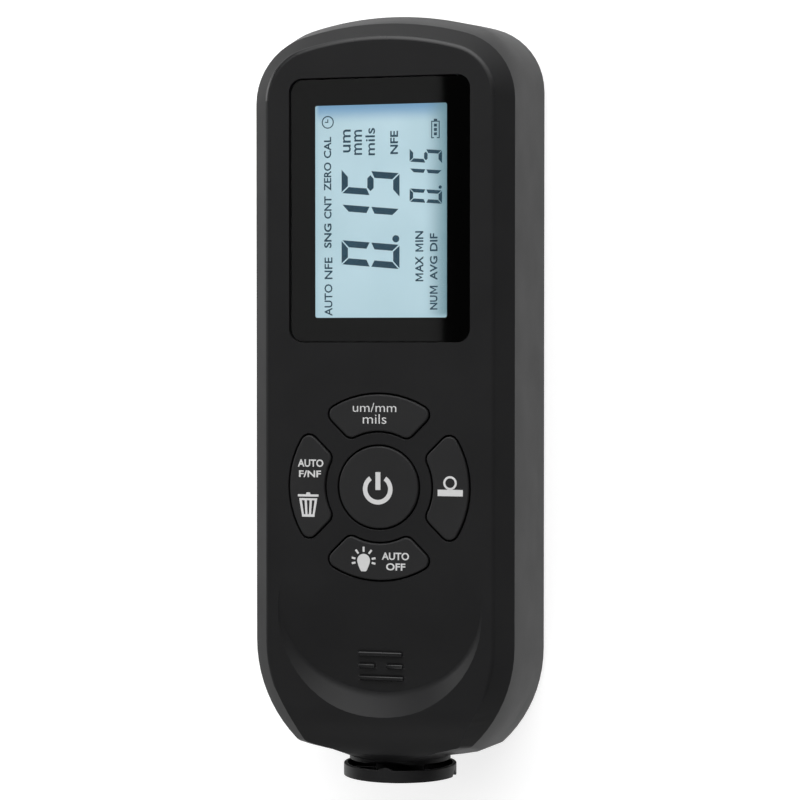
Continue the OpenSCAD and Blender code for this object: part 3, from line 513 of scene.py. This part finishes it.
def rounded_sheet(width, height, x, y, radius, steps):
    """A flat sheet with round corners."""
    made = bmesh.new()
    bmesh.ops.create_grid(made, x_segments=1, y_segments=1, size=0.5)
    bmesh.ops.scale(made, verts=made.verts, vec=(width, height, 1))
    bmesh.ops.bevel(made, geom=made.verts[:], offset=radius, offset_type="OFFSET", segments=steps,
                    profile=0.5, affect="VERTICES", clamp_overlap=True, material=-1)
    bmesh.ops.translate(made, verts=made.verts, vec=(x, y, 0))
    return made


film = 0.03 * mm
pane_outline = (high.x - low.x, high.y - low.y, (low.x + high.x) / 2, (low.y + high.y) / 2, 2.2 * mm, 8)
shape = rounded_sheet(*pane_outline)
raised(shape, (high.z - low.z - film) / mm)
bmesh.ops.translate(shape, verts=shape.verts, vec=(0, 0, low.z + film))
ease(shape, lambda p: p.z > high.z / mm - 0.01, 0.12)
clear, nodes, links, shader = new_finish("window")
shader.inputs["Base Color"].default_value = (0.97, 0.98, 0.98, 1)
shader.inputs["Transmission Weight"].default_value = 1
shader.inputs["IOR"].default_value = 1.49
haze = mottle(nodes, links, nodes.new("ShaderNodeTexCoord").outputs["Object"], 240, 4)
links.new(glossed(nodes, links, haze, 0.01, 0.05), shader.inputs["Roughness"])
window = finished(shape, "window_pane", "case", clear)
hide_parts("lcd_window")

opening_width, opening_height, opening_y = 22.8 * mm, 35.5 * mm, 30.82 * mm
shape = rounded_sheet(*pane_outline)
inner = rounded_sheet(opening_width, opening_height, 0, opening_y, 0.35 * mm, 8)
hole = bpy.data.meshes.new("hole")
inner.to_mesh(hole)
inner.free()
shape.from_mesh(hole)
bpy.data.meshes.remove(hole)
bmesh.ops.delete(shape, geom=shape.faces[:], context="FACES_ONLY")
bmesh.ops.bridge_loops(shape, edges=shape.edges[:])
raised(shape, film / mm)
bmesh.ops.translate(shape, verts=shape.verts, vec=(0, 0, low.z))
border_ink = grained("border_print", (0.0035, 0.0035, 0.0038), (0.0055, 0.0055, 0.0058), 0.30, 0.42,
                     grain=3000, relief=0.1)
finished(shape, "window_border", "case", border_ink, weighted=False)

# Keys
# Five caps of black silicone-coated plastic, a round one and four in a ring, nearly flush with the face.
# Each has a hidden flange under the shell and a pin that works its dome; the signs are screen-printed.
key_finish = grained("key_rubber", (0.0155, 0.0155, 0.0160), (0.0205, 0.0205, 0.0210), 0.46, 0.56,
                     grain=4200, relief=0.3, specular=0.14)
print_ink = grained("key_print", (0.52, 0.52, 0.52), (0.62, 0.62, 0.62), 0.45, 0.60, 2600, 0.3)
cap_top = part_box("key_power")[1].z
print_thick, print_sink = 0.03, 0.01
for node, body in (("key_power", "power_key"), ("key_units", "units_key"), ("key_mode", "mode_key"),
                   ("key_zero", "zero_key"), ("key_light", "light_key")):
    shape = moulding_from(node)
    bmesh.ops.translate(shape, verts=[v for v in shape.verts if v.co.z > cap_top - 0.05 * mm],
                        vec=(0, 0, -print_thick * mm))
    ease(shape, lambda p: p.z > face_z + 0.1, 0.28, 4)
    cap = finished(shape, node + "_cap", body, key_finish)
    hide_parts(node)


def print_on(sheet, name, body):
    """Lays a flat sheet of signs on a key as a thin screen print."""
    raised(sheet, print_thick)
    height = cap_top - (print_thick + print_sink) * mm
    bmesh.ops.translate(sheet, verts=sheet.verts, vec=(0, marks_shift, height))
    finished(sheet, name, body, print_ink, weighted=False)


sheet = bmesh.new()
centre = Vector((-0.1, -15.99, 0))
gap_angle = 33
cut = []
for face in flat_ring(sheet, centre.x, centre.y, 2.57, 1.80, 72):
    way = face.calc_center_median() - centre * mm
    if way.y > 0 and abs(math.degrees(math.atan2(way.x, way.y))) < gap_angle:
        cut.append(face)
bmesh.ops.delete(sheet, geom=cut, context="FACES")
flat_bar(sheet, -0.49, -16.13, 0.37, -13.16)
print_on(sheet, "sign_power", "power_key")

sheet = bmesh.new()
fitted_words(sheet, "um/mm", -4.41, -3.14, 3.12, -1.62, -0.006)
fitted_words(sheet, "mils", -2.68, -5.10, 1.40, -3.50, -0.006)
print_on(sheet, "sign_units", "units_key")

sheet = bmesh.new()
fitted_words(sheet, "AUTO", -14.06, -12.43, -9.57, -11.17, 0.022)
fitted_words(sheet, "F/NF", -13.85, -14.18, -9.98, -13.02, 0.022)
flat_bar(sheet, -14.06, -17.43, -10.43, -17.05)
flat_patch(sheet, [(-12.62, -17.05), (-11.82, -17.05), (-11.92, -16.72), (-12.52, -16.72)])
for k in range(4):
    top = -13.77 + k * (3.08 - 0.42) / 3
    foot = -13.36 + k * (2.26 - 0.36) / 3
    flat_patch(sheet, [(foot, -20.40), (foot + 0.36, -20.40), (top + 0.42, -18.05), (top, -18.05)])
flat_patch(sheet, [(-13.77, -18.05), (-10.69, -18.05), (-10.65, -17.70), (-13.81, -17.70)])
flat_patch(sheet, [(-13.32, -20.82), (-11.14, -20.82), (-11.10, -20.40), (-13.36, -20.40)])
print_on(sheet, "sign_mode", "mode_key")

sheet = bmesh.new()
flat_ring(sheet, 12.33, -14.80, 1.15, 0.80, 40)
flat_bar(sheet, 10.22, -16.97, 14.51, -15.90)
print_on(sheet, "sign_zero", "zero_key")

sheet = bmesh.new()
fitted_words(sheet, "AUTO", 0.61, -27.76, 5.31, -26.50, 0.022)
fitted_words(sheet, "OFF", 1.34, -29.50, 4.67, -28.29, 0.022)
bulb = Vector((-2.55, -27.95))
bulb_r = 1.12
before = set(sheet.verts)
flat_disc(sheet, bulb.x, bulb.y, bulb_r, 40)
for v in set(sheet.verts) - before:
    drop = min(max(0, (bulb.y - v.co.y / mm) / bulb_r), 0.86)
    v.co.x = (bulb.x + (v.co.x / mm - bulb.x) * (1 - 0.3 * drop * drop)) * mm
    if drop > 0:
        v.co.y = (bulb.y - bulb_r * drop - 1.15 * drop * drop) * mm
ray_start, ray_half_width = 1.45, 0.17
for angle, reach in ((0, 0.86), (38, 0.80), (-38, 0.80), (78, 0.66), (-78, 0.66), (104, 0.66), (-104, 0.66)):
    turn = math.radians(angle)
    way = Vector((math.sin(turn), math.cos(turn)))
    side = Vector((way.y, -way.x)) * ray_half_width
    near = bulb + way * ray_start
    far = near + way * reach
    flat_patch(sheet, [near - side, far - side, far + side, near + side])
print_on(sheet, "sign_light", "light_key")

# Battery cover
# A thin black lid in the back that swings on two pins at its upper edge and snaps in with a spring latch.
# Three moulded grooves give the thumb a grip.
shape = moulding_from("battery_cover")
ease(shape, lambda p: p.z < 0.2, 0.15, crease=50)
cover = finished(shape, "cover_lid", "cover", rear_finish)
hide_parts("battery_cover")

# Case screws
# Four cross-head screws, zinc plated and blackened, in wells in the back; they thread into the front bosses.
screw_finish = metal("screw", (0.16, 0.16, 0.165), (0.26, 0.26, 0.265), 0.28, 0.42, 1800)
shape = moulding_from("case_screws")
ease(shape, lambda p: p.z < 1.6, 0.12, crease=50)
screws = finished(shape, "screws", "case", screw_finish)
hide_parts("case_screws")

# Probe
# A sprung measuring head: a black collar with V notches for rods and pipes, its cup dull and painted darker
# as shade, a stem in a guide tube, and a coil round a hardened steel core whose polished tip touches the
# coating.
probe_finish = grained("probe_plastic", (0.0110, 0.0110, 0.0114), (0.0150, 0.0150, 0.0154), 0.38, 0.48,
                       grain=5200, relief=0.2, specular=0.15)
# Painted shade: the inside of the collar's cup gets a near-black finish for the shade in the recess.
cup_shade_finish = grained("cup_painted_shade", (0.0030, 0.0030, 0.0032), (0.0045, 0.0045, 0.0047), 0.75, 0.85,
                     grain=3000, relief=0.3, specular=0.03)
dress("probe_guide", probe_finish)
shape = moulding_from("probe_collar", joined=False)
ease(shape, lambda p: -65.2 < p.y < -62, 0.12, crease=50)
low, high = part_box("probe_collar")
axis_z = (low.z + high.z) / 2
cup_radius, cup_floor = high.x - 0.65 * mm, low.y + 0.8 * mm
# Faces inside the cup take the painted shade.
for face in shape.faces:
    middle = face.calc_center_median()
    if middle.y > cup_floor and math.hypot(middle.x, middle.z - axis_z) < cup_radius:
        face.material_index = 1
collar = finished(shape, "probe_ring", "probe", probe_finish)
collar.data.materials.append(cup_shade_finish)
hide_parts("probe_collar")
dress("probe_stem", probe_finish)
dress("probe_clip", metal("clip_steel", (0.30, 0.30, 0.31), (0.42, 0.42, 0.42), 0.25, 0.38, 1500))
shape = moulding_from("probe_spring")
spring = finished(shape, "probe_coil_spring", "case",
                  metal("spring_steel", (0.44, 0.44, 0.45), (0.58, 0.58, 0.58), 0.2, 0.32, 1500), crease=75,
                  weighted=False)
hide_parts("probe_spring")
low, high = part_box("probe_spring")
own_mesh(spring)
dress("probe_coil", metal("copper", (0.50, 0.20, 0.09), (0.66, 0.30, 0.14), 0.22, 0.36, 2600, (1, 6, 1)))
shape = moulding_from("probe_core")
core = finished(shape, "probe_tip", "probe",
                metal("core_steel", (0.56, 0.56, 0.57), (0.70, 0.70, 0.70), 0.10, 0.20, 1600), crease=60)
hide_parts("probe_core")

# Table and backdrop
# A wide sheet of white card under the gauge; it runs on as the white backdrop.
shape = bmesh.new()
bmesh.ops.create_grid(shape, x_segments=2, y_segments=2, size=4)
mesh = bpy.data.meshes.new("table")
shape.to_mesh(mesh)
shape.free()
table = bpy.data.objects.new("table", mesh)
bpy.context.scene.collection.objects.link(table)
table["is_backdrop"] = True
card = bpy.data.materials.new("white_card")
card.use_nodes = True
nodes, links = card.node_tree.nodes, card.node_tree.links
nodes.remove(nodes["Principled BSDF"])
paper = nodes.new("ShaderNodeBsdfDiffuse")
paper.inputs["Color"].default_value = (0.48, 0.48, 0.48, 1)
path = nodes.new("ShaderNodeLightPath")
seen = nodes.new("ShaderNodeMath")
seen.operation = "MAXIMUM"
links.new(path.outputs["Is Camera Ray"], seen.inputs[0])
links.new(path.outputs["Is Glossy Ray"], seen.inputs[1])
clear_too = nodes.new("ShaderNodeMath")
clear_too.operation = "MAXIMUM"
links.new(seen.outputs[0], clear_too.inputs[0])
links.new(path.outputs["Is Transmission Ray"], clear_too.inputs[1])
level = nodes.new("ShaderNodeMath")
level.operation = "MULTIPLY"
level.inputs[1].default_value = 0.72
links.new(clear_too.outputs[0], level.inputs[0])
glow = nodes.new("ShaderNodeEmission")
links.new(level.outputs[0], glow.inputs["Strength"])
both = nodes.new("ShaderNodeAddShader")
links.new(paper.outputs[0], both.inputs[0])
links.new(glow.outputs[0], both.inputs[1])
links.new(both.outputs[0], nodes["Material Output"].inputs["Surface"])
mesh.materials.append(card)

# Light
# A white room, dark above, right and left and brightest behind the display end, with soft boxes over and
# behind the display, low at the left and below the probe, and a faint ceiling panel for the window.
room = bpy.data.worlds.new("studio")
bpy.context.scene.world = room
room.use_nodes = True
nodes, links = room.node_tree.nodes, room.node_tree.links
place = nodes.new("ShaderNodeTexCoord")
split = nodes.new("ShaderNodeSeparateXYZ")
links.new(place.outputs["Generated"], split.inputs["Vector"])
walls = []
for axis, start, end, near, far in (("Z", 0.35, 0.92, 1.0, 0.05), ("X", 0.20, 0.70, 1.0, 0.08),
                                    ("X", -0.1, -0.6, 1.0, 0.1), ("Y", 0.35, 0.85, 0.7, 3.1)):
    wall = nodes.new("ShaderNodeMapRange")
    wall.interpolation_type = "SMOOTHSTEP"
    wall.inputs["From Min"].default_value = start
    wall.inputs["From Max"].default_value = end
    wall.inputs["To Min"].default_value = near
    wall.inputs["To Max"].default_value = far
    links.new(split.outputs[axis], wall.inputs["Value"])
    walls.append(wall)
around = walls[0].outputs["Result"]
for wall in walls[1:]:
    mixed = nodes.new("ShaderNodeMath")
    mixed.operation = "MULTIPLY"
    links.new(around, mixed.inputs[0])
    links.new(wall.outputs["Result"], mixed.inputs[1])
    around = mixed.outputs[0]
nodes["Background"].inputs["Color"].default_value = (1, 1, 1, 1)
links.new(around, nodes["Background"].inputs["Strength"])


def soft_box(name, place, aim, width, height, watts):
    """A soft box that points at a spot."""
    lamp = bpy.data.lights.new(name, "AREA")
    lamp.shape = "RECTANGLE"
    lamp.size = width
    lamp.size_y = height
    lamp.energy = watts
    box = bpy.data.objects.new(name, lamp)
    bpy.context.scene.collection.objects.link(box)
    box.location = place
    box.rotation_euler = (Vector(aim) - Vector(place)).to_track_quat("-Z", "Y").to_euler()


soft_box("box_over_display", (-0.05, 0.46, 0.66), (0, 0.02, 0.02), 0.80, 0.52, 2.7)
soft_box("box_left", (-0.56, 0.17, 0.15), (0, -0.03, 0.02), 0.24, 0.22, 1.3)
soft_box("box_below", (0, -0.42, 0.38), (0, -0.03, 0.02), 0.30, 0.30, 0.7)
soft_box("box_behind", (0.12, 0.54, 0.34), (0, -0.03, 0.02), 1.00, 0.46, 3.2)
soft_box("ceiling_panel", (-0.44, 0.03, 0.80), (-0.44, 0.03, 0), 0.50, 0.50, 0.3)

# Camera
# A long lens a little to the right of the gauge, square to its length.
yaw, pitch = math.radians(15.5), math.radians(1.35)
toward = Vector((math.sin(yaw) * math.cos(pitch), math.sin(pitch), math.cos(yaw) * math.cos(pitch)))
right = Vector((math.cos(yaw), 0, -math.sin(yaw)))
upward = toward.cross(right)
lens = bpy.data.cameras.new("camera")
film_width, lens_in_film_widths = 36, 2450 / 800
lens.sensor_width = film_width
lens.lens = film_width * lens_in_film_widths
lens.clip_start, lens.clip_end = 0.01, 20
camera = bpy.data.objects.new("camera", lens)
bpy.context.scene.collection.objects.link(camera)
aim, distance = Vector((3.705, -0.62, 27.0)) * mm, 406.8 * mm
camera.matrix_world = (Matrix.Translation(aim + toward * distance)
                       @ Matrix((right, upward, toward)).transposed().to_4x4())
bpy.context.scene.camera = camera
bpy.context.scene.view_settings.view_transform = "Standard"

low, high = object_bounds()
